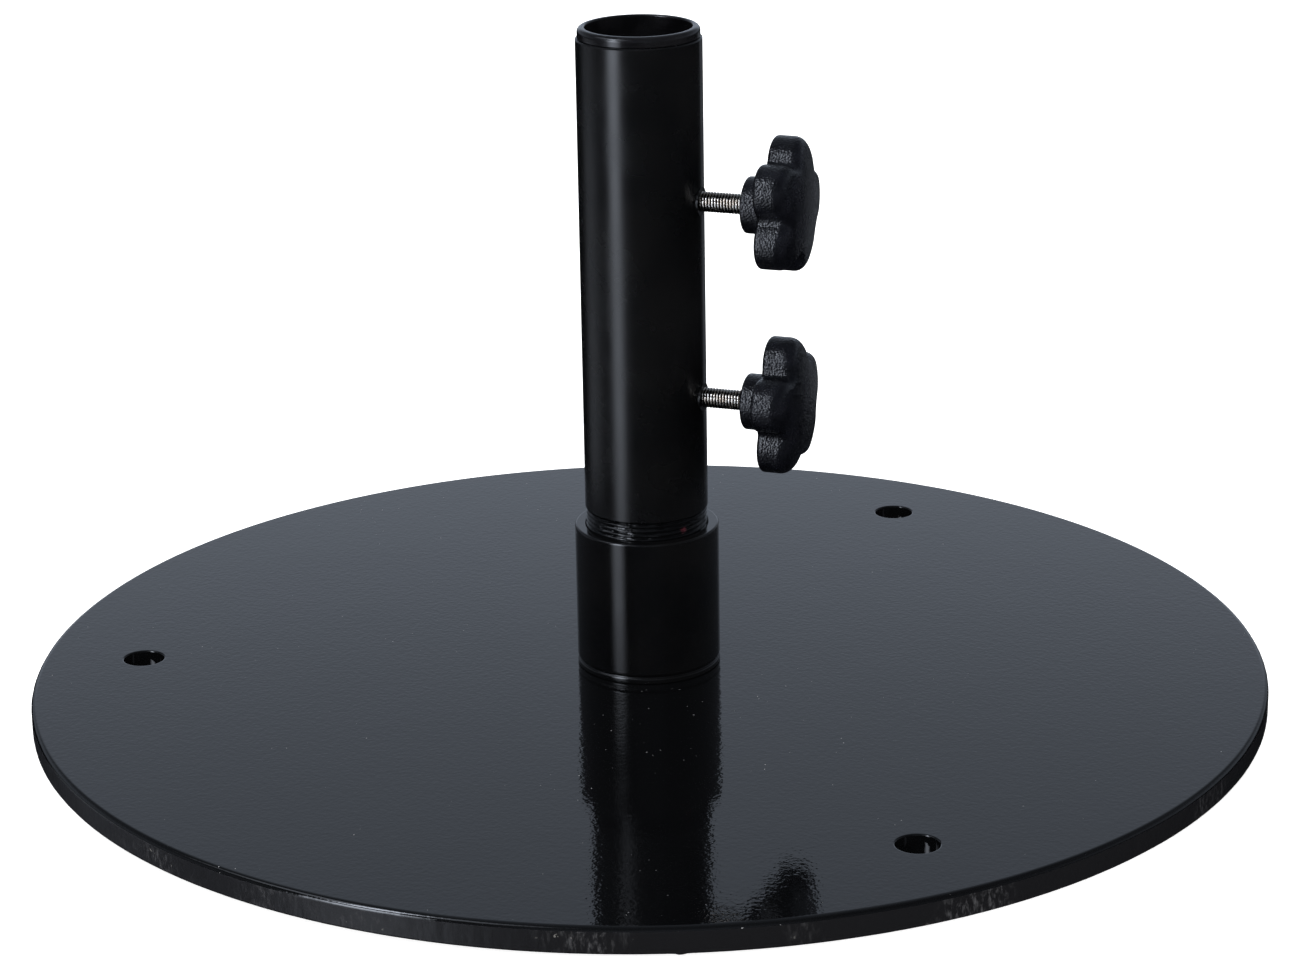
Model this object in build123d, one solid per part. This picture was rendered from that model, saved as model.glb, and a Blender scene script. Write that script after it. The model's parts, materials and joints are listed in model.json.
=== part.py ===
from build123d import *
import math
import os

# Parasol base: a heavy round steel plate with a welded socket, a screw-in stem tube and two
# star-knob clamp screws.  Millimetres, +Z up.  The origin is on the ground, on the axis of the
# stem, and +X points along the two clamp screws, from the stem towards their knobs.

# ---- driving dimensions ----
PAD_THICKNESS = 3.0
PAD_RADIUS = 16.0
PAD_ROUNDING = 0.75
PAD_CIRCLE_RADIUS = 268.0
PAD_COUNT = 6
PAD_START_ANGLE = 47.0

PLATE_RADIUS = 305.0
PLATE_THICKNESS = 12.7
PLATE_TOP_ROUNDING = 2.6
PLATE_BOTTOM_ROUNDING = 1.2
ANCHOR_CIRCLE_RADIUS = 254.0
ANCHOR_HOLE_RADIUS = 10.0
ANCHOR_HOLE_ROUNDING = 0.8
ANCHOR_START_ANGLE = 77.0
ANCHOR_COUNT = 3
DRAIN_HOLE_RADIUS = 6.0

SOCKET_RADIUS = 35.4
SOCKET_BORE_RADIUS = 30.1
SOCKET_HEIGHT = 72.6
SOCKET_TOP_ROUNDING = 1.0
SOCKET_FOOT_ROUNDING = 1.6
SOCKET_BORE_CHAMFER = 0.8
WELD_LEG = 4.4
WELD_FACE_SHARE = 0.62

THREAD_PITCH = 2.309
THREAD_CREST_RADIUS = 29.8
THREAD_ROOT_RADIUS = 28.6
THREAD_CREST_FLAT = 0.7
THREAD_ROOT_FLAT = 0.5
SPIGOT_BORE_RADIUS = 25.8
SPIGOT_SHANK_RADIUS = 28.1
SPIGOT_ENGAGEMENT = 37.0
SPIGOT_EXPOSED = 9.0
SPIGOT_SHANK_LENGTH = 32.0
SHOULDER_GAP = 0.3

TUBE_RADIUS = 30.15
TUBE_WALL = 2.0
TUBE_EDGE = 0.6
TUBE_TOP_Z = 330.1

INSERT_BORE_RADIUS = 25.5
INSERT_SLEEVE_RADIUS = 27.85
INSERT_SLEEVE_LENGTH = 50.0
INSERT_FLANGE_RADIUS = 29.2
INSERT_FLANGE_HEIGHT = 5.0
INSERT_FLANGE_GAP = 0.3
INSERT_ROUNDING = 0.8

UPPER_SCREW_Z = 252.4
LOWER_SCREW_Z = 155.0
BUSH_BODY_RADIUS = 6.0
BUSH_FLANGE_RADIUS = 6.9
BUSH_OUTER_X = 30.5
BUSH_INNER_X = 26.3
BUSH_BORE_RADIUS = 4.95
STUD_PITCH = 1.5
STUD_CREST_RADIUS = 4.88
STUD_ROOT_RADIUS = 4.1
STUD_CREST_FLAT = 0.28
STUD_ROOT_FLAT = 0.22
STUD_POINT = 0.6
STUD_TIP_X = 26.2
UPPER_STUD_EXPOSED = 23.1
LOWER_STUD_EXPOSED = 22.3
STUD_SEAT_DEPTH = 21.0
STUD_SEAT_RADIUS = 4.05
SEAT_CLEARANCE = 0.05
SEAT_END_GAP = 0.3
SEAT_MOUTH_DEPTH = 2.25

LOBE_COUNT = 5
LOBE_CIRCLE_RADIUS = 21.0
LOBE_RADIUS = 12.8
NOTCH_FLOOR_RADIUS = 24.0
HUB_RADIUS = 13.6
HUB_LENGTH = 11.6
HUB_ROUNDING = 1.2
HEAD_THICKNESS = 19.1
HEAD_RIM_THICKNESS = 14.1
HEAD_BACK_ROUNDING = 2.1
HEAD_FRONT_ROUNDING = 4.5
UPPER_HEAD_TILT = 33.2
LOWER_HEAD_TILT = 14.3

# how far a cut or a joined piece runs past the face that it meets
OVERRUN = 1.0
TOLERANCE = 0.001

# ---- heights and places that follow from them ----
PLATE_TOP_Z = PAD_THICKNESS + PLATE_THICKNESS
SOCKET_TOP_Z = PLATE_TOP_Z + SOCKET_HEIGHT
TUBE_BOTTOM_Z = SOCKET_TOP_Z + SPIGOT_EXPOSED
TUBE_BORE_RADIUS = TUBE_RADIUS - TUBE_WALL
SPIGOT_BOTTOM_Z = SOCKET_TOP_Z - SPIGOT_ENGAGEMENT


def disc(radius, low, high):
    """A cylinder about Z between two heights."""
    return Pos(0, 0, low) * Cylinder(radius, high - low, align=(Align.CENTER, Align.CENTER, Align.MIN))


def ring(outer, inner, low, high):
    """A round sleeve about Z."""
    return disc(outer, low, high) - disc(inner, low - OVERRUN, high + OVERRUN)


def turned(points):
    """A solid of revolution about Z from (radius, height) corners."""
    outline = Polyline(*[(radius, 0, height) for radius, height in points], close=True)
    return revolve(make_face(outline), Axis.Z)


def circle_edges(shape, radius, height):
    """The round edges of a shape that have this radius and lie at this height."""
    return [
        edge
        for edge in shape.edges().filter_by(GeomType.CIRCLE)
        if abs(edge.radius - radius) < TOLERANCE and abs(edge.arc_center.Z - height) < TOLERANCE
    ]


def along_x(shape, start_x, height):
    """Turns a shape built along +Z so that it points along +X from start_x, at a height."""
    return Pos(start_x, 0, height) * Rot(0, 90, 0) * shape


def thread_profile(low, high, pitch, crest, root, crest_flat, root_flat):
    """Corners of a threaded outline, as ring grooves, from one height up to another."""
    flank = (pitch - crest_flat - root_flat) / 2
    count = int((high - low) / pitch)
    points = []
    for turn in range(count):
        start = low + turn * pitch
        points += [
            (root, start + root_flat),
            (crest, start + root_flat + flank),
            (crest, start + root_flat + flank + crest_flat),
            (root, start + pitch),
        ]
    return points


def make_base_plate():
    """Round steel plate with three plain anchor holes and a drain hole under the stem."""
    plate = disc(PLATE_RADIUS, PAD_THICKNESS, PLATE_TOP_Z)
    plate = fillet(circle_edges(plate, PLATE_RADIUS, PLATE_TOP_Z), PLATE_TOP_ROUNDING)
    plate = fillet(circle_edges(plate, PLATE_RADIUS, PAD_THICKNESS), PLATE_BOTTOM_ROUNDING)
    for index in range(ANCHOR_COUNT):
        angle = ANCHOR_START_ANGLE + index * 360 / ANCHOR_COUNT
        place = Rot(0, 0, angle) * Pos(ANCHOR_CIRCLE_RADIUS, 0, 0)
        plate -= place * disc(ANCHOR_HOLE_RADIUS, 0, PLATE_TOP_Z + OVERRUN)
    plate = fillet(circle_edges(plate, ANCHOR_HOLE_RADIUS, PLATE_TOP_Z), ANCHOR_HOLE_ROUNDING)
    return plate - disc(DRAIN_HOLE_RADIUS, 0, PLATE_TOP_Z + OVERRUN)


def make_foot_pad(index):
    """One thin round glide under the plate."""
    pad = disc(PAD_RADIUS, 0, PAD_THICKNESS)
    pad = fillet(circle_edges(pad, PAD_RADIUS, 0), PAD_ROUNDING)
    angle = PAD_START_ANGLE + index * 360 / PAD_COUNT
    return Rot(0, 0, angle) * Pos(PAD_CIRCLE_RADIUS, 0, 0) * pad


def make_stem_socket():
    """Thick pipe coupling standing on the plate; the stem screws into it."""
    socket = ring(SOCKET_RADIUS, SOCKET_BORE_RADIUS, PLATE_TOP_Z, SOCKET_TOP_Z)
    socket = fillet(circle_edges(socket, SOCKET_RADIUS, PLATE_TOP_Z), SOCKET_FOOT_ROUNDING)
    socket = fillet(circle_edges(socket, SOCKET_RADIUS, SOCKET_TOP_Z), SOCKET_TOP_ROUNDING)
    return chamfer(circle_edges(socket, SOCKET_BORE_RADIUS, SOCKET_TOP_Z), SOCKET_BORE_CHAMFER)


def make_socket_weld():
    """Fillet weld inside the socket, in the corner between its bore and the plate."""
    inner = SOCKET_BORE_RADIUS - WELD_LEG
    bulge = WELD_FACE_SHARE * WELD_LEG
    face_middle = (SOCKET_BORE_RADIUS - bulge, 0, PLATE_TOP_Z + bulge)
    foot = (inner, 0, PLATE_TOP_Z)
    corner = (SOCKET_BORE_RADIUS, 0, PLATE_TOP_Z)
    head = (SOCKET_BORE_RADIUS, 0, PLATE_TOP_Z + WELD_LEG)
    outline = Line(foot, corner) + Line(corner, head) + ThreePointArc(head, face_middle, foot)
    return revolve(make_face(outline), Axis.Z)


def make_stem_spigot():
    """Threaded ferrule in the tube's lower end, hollow so that the parasol pole passes."""
    thread_top = TUBE_BOTTOM_Z - SHOULDER_GAP
    points = [(SPIGOT_BORE_RADIUS, SPIGOT_BOTTOM_Z), (THREAD_ROOT_RADIUS, SPIGOT_BOTTOM_Z)]
    points += thread_profile(
        SPIGOT_BOTTOM_Z,
        thread_top,
        THREAD_PITCH,
        THREAD_CREST_RADIUS,
        THREAD_ROOT_RADIUS,
        THREAD_CREST_FLAT,
        THREAD_ROOT_FLAT,
    )
    points += [
        (THREAD_ROOT_RADIUS, thread_top),
        (SPIGOT_SHANK_RADIUS, thread_top),
        (SPIGOT_SHANK_RADIUS, thread_top + SPIGOT_SHANK_LENGTH),
        (SPIGOT_BORE_RADIUS, thread_top + SPIGOT_SHANK_LENGTH),
    ]
    return turned(points)


def make_stem_tube():
    """Stem tube with bevelled ends and one round seat for each clamp screw's bush."""
    tube = ring(TUBE_RADIUS, TUBE_BORE_RADIUS, TUBE_BOTTOM_Z, TUBE_TOP_Z)
    ends = circle_edges(tube, TUBE_RADIUS, TUBE_BOTTOM_Z) + circle_edges(tube, TUBE_RADIUS, TUBE_TOP_Z)
    tube = chamfer(ends, TUBE_EDGE)
    for height in (UPPER_SCREW_Z, LOWER_SCREW_Z):
        tube -= along_x(disc(BUSH_BODY_RADIUS, 0, 2 * TUBE_RADIUS), 0, height)
    return tube


def make_thread_bush(height):
    """Threaded bush set in the tube wall, its thin flange shaped to the tube."""
    flange = along_x(disc(BUSH_FLANGE_RADIUS, 0, BUSH_OUTER_X - TUBE_RADIUS / 2), TUBE_RADIUS / 2, height)
    flange -= disc(TUBE_RADIUS, height - 2 * BUSH_FLANGE_RADIUS, height + 2 * BUSH_FLANGE_RADIUS)
    body = along_x(disc(BUSH_BODY_RADIUS, 0, BUSH_OUTER_X - BUSH_INNER_X), BUSH_INNER_X, height)
    bore = along_x(disc(BUSH_BORE_RADIUS, 0, 2 * TUBE_RADIUS), 0, height)
    return flange + body - bore


def make_pole_insert():
    """Reducing sleeve pushed into the tube's top, with a flange that stands on the tube."""
    flange_bottom = TUBE_TOP_Z + INSERT_FLANGE_GAP
    flange_top = flange_bottom + INSERT_FLANGE_HEIGHT
    sleeve_bottom = TUBE_TOP_Z - INSERT_SLEEVE_LENGTH
    insert = disc(INSERT_FLANGE_RADIUS, flange_bottom, flange_top)
    insert += disc(INSERT_SLEEVE_RADIUS, sleeve_bottom, flange_bottom + OVERRUN)
    insert -= disc(INSERT_BORE_RADIUS, sleeve_bottom - OVERRUN, flange_top + OVERRUN)
    rims = circle_edges(insert, INSERT_FLANGE_RADIUS, flange_top)
    rims += circle_edges(insert, INSERT_BORE_RADIUS, flange_top)
    return fillet(rims, INSERT_ROUNDING)


def make_stud(height, hub_back_x):
    """Threaded steel stud, its tip inside the tube wall and its plain end in the knob head."""
    length = hub_back_x + STUD_SEAT_DEPTH - STUD_TIP_X
    points = [(0, 0), (STUD_ROOT_RADIUS - STUD_POINT, 0), (STUD_ROOT_RADIUS, STUD_POINT)]
    points += thread_profile(
        STUD_POINT,
        hub_back_x - STUD_TIP_X + OVERRUN,
        STUD_PITCH,
        STUD_CREST_RADIUS,
        STUD_ROOT_RADIUS,
        STUD_CREST_FLAT,
        STUD_ROOT_FLAT,
    )
    thread_end = points[-1][1]
    points += [(STUD_SEAT_RADIUS, thread_end), (STUD_SEAT_RADIUS, length), (0, length)]
    return along_x(turned(points), STUD_TIP_X, height)


def polar(radius, angle):
    """A point in the plane, by its distance from the origin and its angle from X."""
    return Vector(radius, 0).rotate(Axis.Z, angle)


def star_outline():
    """Five round lobes joined by round notches, each arc tangent to the next."""
    half_step = 180 / LOBE_COUNT
    reach = LOBE_CIRCLE_RADIUS * math.cos(math.radians(half_step))
    notch_radius = (
        LOBE_CIRCLE_RADIUS**2 + NOTCH_FLOOR_RADIUS**2 - 2 * reach * NOTCH_FLOOR_RADIUS - LOBE_RADIUS**2
    ) / (2 * (LOBE_RADIUS + reach - NOTCH_FLOOR_RADIUS))
    share = LOBE_RADIUS / (LOBE_RADIUS + notch_radius)
    arcs = []
    for index in range(LOBE_COUNT):
        middle = index * 2 * half_step
        lobe = polar(LOBE_CIRCLE_RADIUS, middle)
        next_lobe = polar(LOBE_CIRCLE_RADIUS, middle + 2 * half_step)
        notch_before = polar(NOTCH_FLOOR_RADIUS + notch_radius, middle - half_step)
        notch_after = polar(NOTCH_FLOOR_RADIUS + notch_radius, middle + half_step)
        touch_before = lobe + (notch_before - lobe) * share
        touch_after = lobe + (notch_after - lobe) * share
        next_touch = next_lobe + (notch_after - next_lobe) * share
        tip = polar(LOBE_CIRCLE_RADIUS + LOBE_RADIUS, middle)
        floor = polar(NOTCH_FLOOR_RADIUS, middle + half_step)
        arcs.append(ThreePointArc(touch_before, tip, touch_after))
        arcs.append(ThreePointArc(touch_after, floor, next_touch))
    return make_face(Wire(arcs))


def make_knob_head(height, hub_back_x, tilt):
    """Five-lobed grip with a domed front and a round hub; one lobe points to -Y, tilted up."""
    star = extrude(star_outline(), HEAD_THICKNESS)
    rim = LOBE_CIRCLE_RADIUS + LOBE_RADIUS
    rise = HEAD_THICKNESS - HEAD_RIM_THICKNESS
    dome_radius = (rim**2 + rise**2) / (2 * rise)
    star &= Pos(0, 0, HEAD_THICKNESS - dome_radius) * Sphere(dome_radius)
    back = star.edges().filter_by_position(Axis.Z, -TOLERANCE, TOLERANCE)
    star = fillet(back, HEAD_BACK_ROUNDING)
    front = star.faces().filter_by(GeomType.SPHERE)[0].edges()
    star = fillet(front, HEAD_FRONT_ROUNDING)
    hub = disc(HUB_RADIUS, -HUB_LENGTH, OVERRUN)
    hub = fillet(circle_edges(hub, HUB_RADIUS, -HUB_LENGTH), HUB_ROUNDING)
    head = star + hub
    seat_end = STUD_SEAT_DEPTH + SEAT_END_GAP - HUB_LENGTH
    head -= disc(STUD_SEAT_RADIUS + SEAT_CLEARANCE, -HUB_LENGTH - OVERRUN, seat_end)
    mouth_end = SEAT_MOUTH_DEPTH - HUB_LENGTH
    head -= disc(STUD_CREST_RADIUS + SEAT_CLEARANCE, -HUB_LENGTH - OVERRUN, mouth_end)
    return along_x(Rot(0, 0, -90 - tilt) * head, hub_back_x + HUB_LENGTH, height)


def make_parts():
    """Every sub-part by node name."""
    parts = {
        "base_plate": make_base_plate(),
        "stem_socket": make_stem_socket(),
        "socket_weld": make_socket_weld(),
        "stem_spigot": make_stem_spigot(),
        "stem_tube": make_stem_tube(),
        "pole_insert": make_pole_insert(),
    }
    for index in range(PAD_COUNT):
        parts[f"foot_pad_{index + 1}"] = make_foot_pad(index)
    for side, height, exposed, tilt in (
        ("upper", UPPER_SCREW_Z, UPPER_STUD_EXPOSED, UPPER_HEAD_TILT),
        ("lower", LOWER_SCREW_Z, LOWER_STUD_EXPOSED, LOWER_HEAD_TILT),
    ):
        hub_back_x = TUBE_RADIUS + exposed
        parts[f"{side}_thread_bush"] = make_thread_bush(height)
        parts[f"{side}_stud"] = make_stud(height, hub_back_x)
        parts[f"{side}_knob_head"] = make_knob_head(height, hub_back_x, tilt)
    return parts


os.makedirs("parts", exist_ok=True)
for name, shape in make_parts().items():
    export_step(shape, f"parts/{name}.step")
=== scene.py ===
import json
import math

import bmesh
import bpy
from mathutils import Matrix, Vector, noise
from mathutils.geometry import delaunay_2d_cdt


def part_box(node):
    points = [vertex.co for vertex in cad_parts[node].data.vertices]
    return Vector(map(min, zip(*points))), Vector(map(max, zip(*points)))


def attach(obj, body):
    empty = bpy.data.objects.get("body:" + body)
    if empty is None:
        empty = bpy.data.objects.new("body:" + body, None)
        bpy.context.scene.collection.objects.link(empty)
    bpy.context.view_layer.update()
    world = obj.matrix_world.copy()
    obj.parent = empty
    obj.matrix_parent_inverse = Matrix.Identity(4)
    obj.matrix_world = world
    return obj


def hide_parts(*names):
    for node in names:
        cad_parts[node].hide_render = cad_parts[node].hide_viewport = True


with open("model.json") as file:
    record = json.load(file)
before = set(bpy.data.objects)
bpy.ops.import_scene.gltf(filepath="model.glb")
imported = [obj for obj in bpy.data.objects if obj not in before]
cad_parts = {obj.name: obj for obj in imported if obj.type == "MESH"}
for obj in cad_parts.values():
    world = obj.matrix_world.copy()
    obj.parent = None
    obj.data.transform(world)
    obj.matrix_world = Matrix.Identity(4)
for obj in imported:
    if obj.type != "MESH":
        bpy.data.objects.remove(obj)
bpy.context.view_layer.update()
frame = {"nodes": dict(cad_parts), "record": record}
NODES = frame["nodes"]
RECORD = frame["record"]
MOUNTS = {mount["name"]: mount for mount in RECORD["mounts"]}
OPENINGS = {opening["name"]: opening for opening in RECORD["physics"]["openings"]}
MM = 0.001

# The camera's and the stage's lengths are in metres. The object's sizes and meshes are in millimetres.


def box_mm(node):
    """A node's lowest and highest corners, in millimetres."""
    low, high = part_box(node)
    return low / MM, high / MM


# ---- sizes and places read from the frame, in millimetres ----
PLATE_LOW, PLATE_HIGH = box_mm("base_plate")
SOCKET_LOW, SOCKET_HIGH = box_mm("stem_socket")
WELD_HIGH = box_mm("socket_weld")[1]
SPIGOT_LOW, SPIGOT_HIGH = box_mm("stem_spigot")
TUBE_LOW = box_mm("stem_tube")[0]
INSERT_LOW, INSERT_HIGH = box_mm("pole_insert")
HOLE_RADIUS = MOUNTS["anchor_holes"]["dims"]["hole_r_mm"]
INSERT_BORE = MOUNTS["pole_bore"]["dims"]["r_mm"]

# ---- sizes that the frame doesn't state, in millimetres ----
PLATE_TOP_ROUNDING = 2.6
PLATE_BOTTOM_ROUNDING = 1.2
HOLE_ROUNDING = 0.8
DRAIN_RADIUS = 6.0
SOCKET_TOP_ROUNDING = 1.0
BEAD_HEIGHT = 2.6
BEAD_GROOVE = 0.8
CHAMFER_TOP = 5.0
SOCKET_BORE_ROUNDING = 0.6
SPIGOT_BORE = 25.8
SPIGOT_SHANK_RADIUS = 28.1
PIPE_PITCH = 2.309
PIPE_ROOT = 28.6
INSERT_SLEEVE_RADIUS = 27.85
INSERT_FLANGE_HEIGHT = 5.0
INSERT_ROUNDING = 0.8
INSERT_BROW = 2.3
STUD_PITCH = 1.5
STUD_ROOT = 4.05
STUD_SEAT_DEPTH = 21.0
HUB_RADIUS = 13.6
HUB_LENGTH = 11.6
HUB_ROUNDING = 1.2
HUB_FOOT_ROUNDING = 0.8
SEAT_MOUTH_DEPTH = 2.25
SEAT_CLEARANCE = 0.05
SEAT_END_GAP = 0.3
LOBE_COUNT = 5
LOBE_CIRCLE = 21.0
LOBE_RADIUS = 12.8
NOTCH_FLOOR = 24.0
HEAD_RIM_THICKNESS = 14.1
HEAD_BACK_ROUNDING = 2.1
HEAD_FRONT_ROUNDING = 4.5
HEAD_TILT = {"upper": 33.2, "lower": 14.3}

# ---- camera: the whole object from a little above, knobs to the right ----
CAMERA_AZIMUTH = 19.7
CAMERA_ELEVATION = 18.88
CAMERA_DISTANCE = 1.7434
CAMERA_AIM_HEIGHT = 0.1068
CAMERA_AIM_RIGHT = 0.0006
CAMERA_ROLL = -0.98
CAMERA_LENS = 98.75


def direction(azimuth, elevation):
    """A unit vector towards a place seen from the object; azimuth 0 is the camera's side, plus is right."""
    turn = math.radians(CAMERA_AZIMUTH + azimuth)
    lift = math.radians(elevation)
    return Vector((math.sin(turn) * math.cos(lift), -math.cos(turn) * math.cos(lift), math.sin(lift)))


def add_camera():
    """A camera aimed at the stem and rolled by a degree."""
    back = direction(0, CAMERA_ELEVATION)
    right = (-back).cross(Vector((0, 0, 1))).normalized()
    up = right.cross(-back)
    roll = math.radians(CAMERA_ROLL)
    across = right * math.cos(roll) + up * math.sin(roll)
    upward = up * math.cos(roll) - right * math.sin(roll)
    data = bpy.data.cameras.new("camera")
    data.lens = CAMERA_LENS
    camera = bpy.data.objects.new("camera", data)
    place = Vector((0, 0, CAMERA_AIM_HEIGHT)) + right * CAMERA_AIM_RIGHT + back * CAMERA_DISTANCE
    turn = Matrix((across, upward, back)).transposed()
    camera.matrix_world = Matrix.Translation(place) @ turn.to_4x4()
    bpy.context.scene.collection.objects.link(camera)
    bpy.context.scene.camera = camera


# ---- node helpers ----
def new_material(name):
    """A material with an empty node tree but for its shader and output."""
    material = bpy.data.materials.new(name)
    material.use_nodes = True
    tree = material.node_tree
    return material, tree, tree.nodes["Principled BSDF"]


def add_node(tree, kind, **settings):
    """A node with its properties and its unlinked inputs set by name."""
    node = tree.nodes.new(kind)
    for key, value in settings.items():
        if key in node.inputs:
            node.inputs[key].default_value = value
        else:
            setattr(node, key, value)
    return node


def object_coords(tree, stretch=(1, 1, 1)):
    """The object's own coordinates, in metres, stretched along its axes."""
    coords = add_node(tree, "ShaderNodeTexCoord").outputs["Object"]
    if stretch == (1, 1, 1):
        return coords
    scale = add_node(tree, "ShaderNodeVectorMath", operation="MULTIPLY")
    scale.inputs[1].default_value = [1 / share for share in stretch]
    tree.links.new(coords, scale.inputs[0])
    return scale.outputs[0]


def grain(tree, coords, size_mm, detail=2.0, rough=0.5):
    """Noise whose features have a size in millimetres."""
    node = add_node(tree, "ShaderNodeTexNoise", Scale=1 / (size_mm * MM), Detail=detail, Roughness=rough)
    tree.links.new(coords, node.inputs["Vector"])
    return node.outputs["Fac"]


def ramp(tree, value, low, high, out_low, out_high):
    """Maps a value from one range to another, clamped."""
    node = add_node(tree, "ShaderNodeMapRange")
    for key, number in zip(("From Min", "From Max", "To Min", "To Max"), (low, high, out_low, out_high)):
        node.inputs[key].default_value = number
    tree.links.new(value, node.inputs["Value"])
    return node.outputs["Result"]


def combine(tree, operation, first, second):
    """A math node of two inputs, each a socket or a number."""
    node = add_node(tree, "ShaderNodeMath", operation=operation)
    for socket, value in zip(node.inputs, (first, second)):
        if isinstance(value, (int, float)):
            socket.default_value = value
        else:
            tree.links.new(value, socket)
    return node.outputs[0]


def mix_colour(tree, factor, first, second):
    """A colour between two, by a factor; each colour is a tuple or a socket."""
    node = add_node(tree, "ShaderNodeMix", data_type="RGBA")
    for socket, colour in zip((node.inputs[6], node.inputs[7]), (first, second)):
        if isinstance(colour, tuple):
            socket.default_value = (*colour, 1)
        else:
            tree.links.new(colour, socket)
    tree.links.new(factor, node.inputs[0])
    return node.outputs[2]


def add_bumps(tree, shader, coords, layers):
    """Stacked bumps, each a (feature size in mm, depth in mm, noise detail) layer."""
    normal = None
    for size_mm, depth_mm, detail in layers:
        node = add_node(tree, "ShaderNodeBump", Strength=1.0, Distance=depth_mm * MM)
        tree.links.new(grain(tree, coords, size_mm, detail), node.inputs["Height"])
        if normal is not None:
            tree.links.new(normal, node.inputs["Normal"])
        normal = node.outputs["Normal"]
    tree.links.new(normal, shader.inputs["Normal"])


def link_roughness(tree, shader, coords, size_mm, smooth, rough):
    """Roughness that wanders between two values over patches of a given size."""
    value = ramp(tree, grain(tree, coords, size_mm, 3), 0.35, 0.65, smooth, rough)
    tree.links.new(value, shader.inputs["Roughness"])
    return value


# ---- materials ----
BLACK_PAINT = (0.0020, 0.0021, 0.0024)
EDGE_PAINT = (0.0050, 0.0050, 0.0058)
WORN_PAINT = (0.0030, 0.0030, 0.0032)
SPECK_DUST = (0.30, 0.30, 0.31)
EDGE_DUST = (0.060, 0.060, 0.064)
EDGE_CHIP = (0.16, 0.155, 0.145)
RED_LEAD = (0.040, 0.009, 0.013)
PAINT_IOR = 1.5
EDGE_IOR = 1.33
KNOB_IOR = 1.44
EDGE_STRETCH = 2.5
CHIP_ROUGHNESS = 0.6
FLECK_AZIMUTH = 37
FLECK_LIFT = 3.4


def plate_coat():
    """Gloss powder coat: fine orange peel, slow waves in the film, faint haze and a few dust specks."""
    material, tree, shader = new_material("gloss_plate_coat")
    coords = object_coords(tree)
    shader.inputs["IOR"].default_value = PAINT_IOR
    haze = ramp(tree, grain(tree, coords, 90, 4, 0.6), 0.4, 0.7, 0.03, 0.06)
    speck = ramp(tree, grain(tree, coords, 1.3, 0), 0.86, 0.875, 0, 1)
    patch = ramp(tree, grain(tree, coords, 45, 1), 0.55, 0.62, 0, 1)
    speck = combine(tree, "MULTIPLY", speck, patch)
    tree.links.new(mix_colour(tree, speck, BLACK_PAINT, SPECK_DUST), shader.inputs["Base Color"])
    tree.links.new(combine(tree, "MAXIMUM", haze, speck), shader.inputs["Roughness"])
    add_bumps(tree, shader, coords, ((70, 0.05, 1), (2.1, 0.045, 1)))
    return material


def plate_edge_coat():
    """Paint over the plate's cut edge: upright cutting ripples, scuffs and dust."""
    material, tree, shader = new_material("plate_edge_coat")
    shader.inputs["IOR"].default_value = EDGE_IOR
    upright = object_coords(tree, (1, 1, EDGE_STRETCH))
    coords = object_coords(tree)
    dust = ramp(tree, grain(tree, upright, 2.2, 4, 0.7), 0.5, 0.8, 0, 1)
    zone = ramp(tree, grain(tree, coords, 60, 2), 0.48, 0.62, 0, 1)
    dusty = combine(tree, "MULTIPLY", dust, zone)
    chip = ramp(tree, grain(tree, coords, 4.5, 3, 0.6), 0.70, 0.73, 0, 1)
    chipped = combine(tree, "MULTIPLY", chip, zone)
    film = mix_colour(tree, dusty, EDGE_PAINT, EDGE_DUST)
    tree.links.new(mix_colour(tree, chipped, film, EDGE_CHIP), shader.inputs["Base Color"])
    worn = ramp(tree, dusty, 0, 0.6, 0.38, 0.6)
    bare = combine(tree, "MULTIPLY", chipped, CHIP_ROUGHNESS)
    tree.links.new(combine(tree, "MAXIMUM", worn, bare), shader.inputs["Roughness"])
    add_bumps(tree, shader, upright, ((9, 0.35, 2), (2.0, 0.12, 3)))
    return material


def black_coat(name, smooth, rough, layers):
    """Black paint with a wandering gloss and its own orange peel."""
    material, tree, shader = new_material(name)
    coords = object_coords(tree)
    shader.inputs["IOR"].default_value = PAINT_IOR
    tone = ramp(tree, grain(tree, coords, 35, 4), 0.4, 0.6, 0, 1)
    tree.links.new(mix_colour(tree, tone, BLACK_PAINT, WORN_PAINT), shader.inputs["Base Color"])
    link_roughness(tree, shader, coords, 22, smooth, rough)
    add_bumps(tree, shader, coords, layers)
    return material


def thread_paint():
    """Thick gloss paint over the pipe thread, with a fleck of red lead showing through."""
    material, tree, shader = new_material("thread_paint")
    coords = object_coords(tree)
    shader.inputs["IOR"].default_value = PAINT_IOR
    fleck_place = direction(FLECK_AZIMUTH, 0) * (PIPE_ROOT * MM)
    fleck_place.z = (SOCKET_HIGH.z + FLECK_LIFT) * MM
    reach = add_node(tree, "ShaderNodeVectorMath", operation="DISTANCE")
    reach.inputs[1].default_value = fleck_place
    tree.links.new(coords, reach.inputs[0])
    wobble = combine(tree, "MULTIPLY", grain(tree, coords, 1.2, 2), 0.0016)
    fleck = ramp(tree, combine(tree, "ADD", reach.outputs["Value"], wobble), 0.0018, 0.0030, 1, 0)
    tree.links.new(mix_colour(tree, fleck, BLACK_PAINT, RED_LEAD), shader.inputs["Base Color"])
    link_roughness(tree, shader, coords, 6, 0.06, 0.18)
    add_bumps(tree, shader, coords, ((5, 0.25, 2), (1.3, 0.08, 2)))
    return material


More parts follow.
